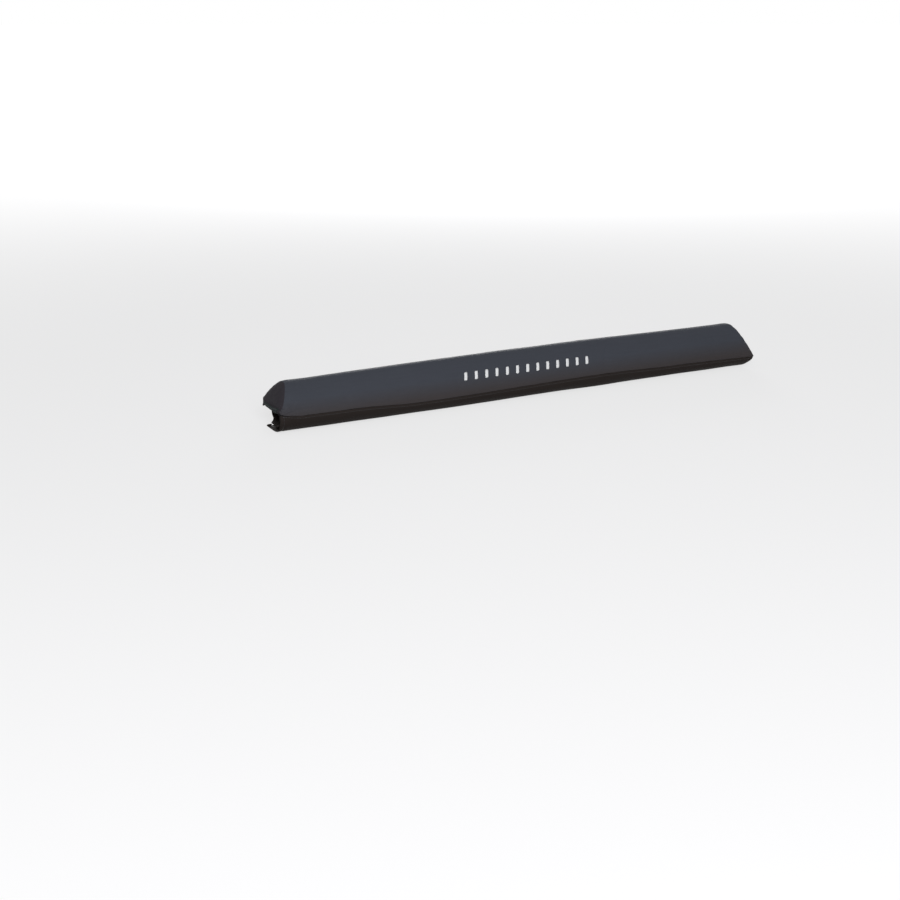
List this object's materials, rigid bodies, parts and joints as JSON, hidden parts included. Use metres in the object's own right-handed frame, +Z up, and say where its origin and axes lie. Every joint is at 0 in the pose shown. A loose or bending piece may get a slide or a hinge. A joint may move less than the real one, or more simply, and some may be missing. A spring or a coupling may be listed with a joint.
{
  "type": "roof rack pad",
  "caption": "Soft foam pad in a sewn fabric cover that wraps a roof rack bar and closes underneath, to cushion long loads.",
  "frame": {"origin": "under the middle of the pad, at the underside of the closed flaps", "axes": "+X along the bar and the pad, -Y towards the printed front face, +Z up through the crest"},
  "size_m": [0.7122, 0.072, 0.0591],
  "materials": {
    "foam": "matte closed-cell foam",
    "cover": "smooth satin woven polyester",
    "end_cloth": "smooth satin woven polyester",
    "flap_cloth": "smooth woven polyester",
    "lining": "matte woven polyester",
    "binding_tape": "ribbed woven tape",
    "hook_tape": "fine hooks",
    "loop_pile": "brushed pile",
    "print": "satin transfer film"
  },
  "bodies": {
    "root": {"foam_core": "foam", "top_panel": "cover", "end_panel_left": "end_cloth", "end_panel_right": "end_cloth", "base_lining": "lining", "front_flap": "flap_cloth", "rear_flap": "flap_cloth", "loop_strip": "loop_pile", "hook_strip": "hook_tape", "end_binding_left": "binding_tape", "end_binding_right": "binding_tape", "mark_01": "print", "mark_02": "print", "mark_03": "print", "mark_04": "print", "mark_05": "print", "mark_06": "print", "mark_07": "print", "mark_08": "print", "mark_09": "print", "mark_10": "print", "mark_11": "print", "mark_12": "print", "mark_13": "print"}
  },
  "joints": []
}
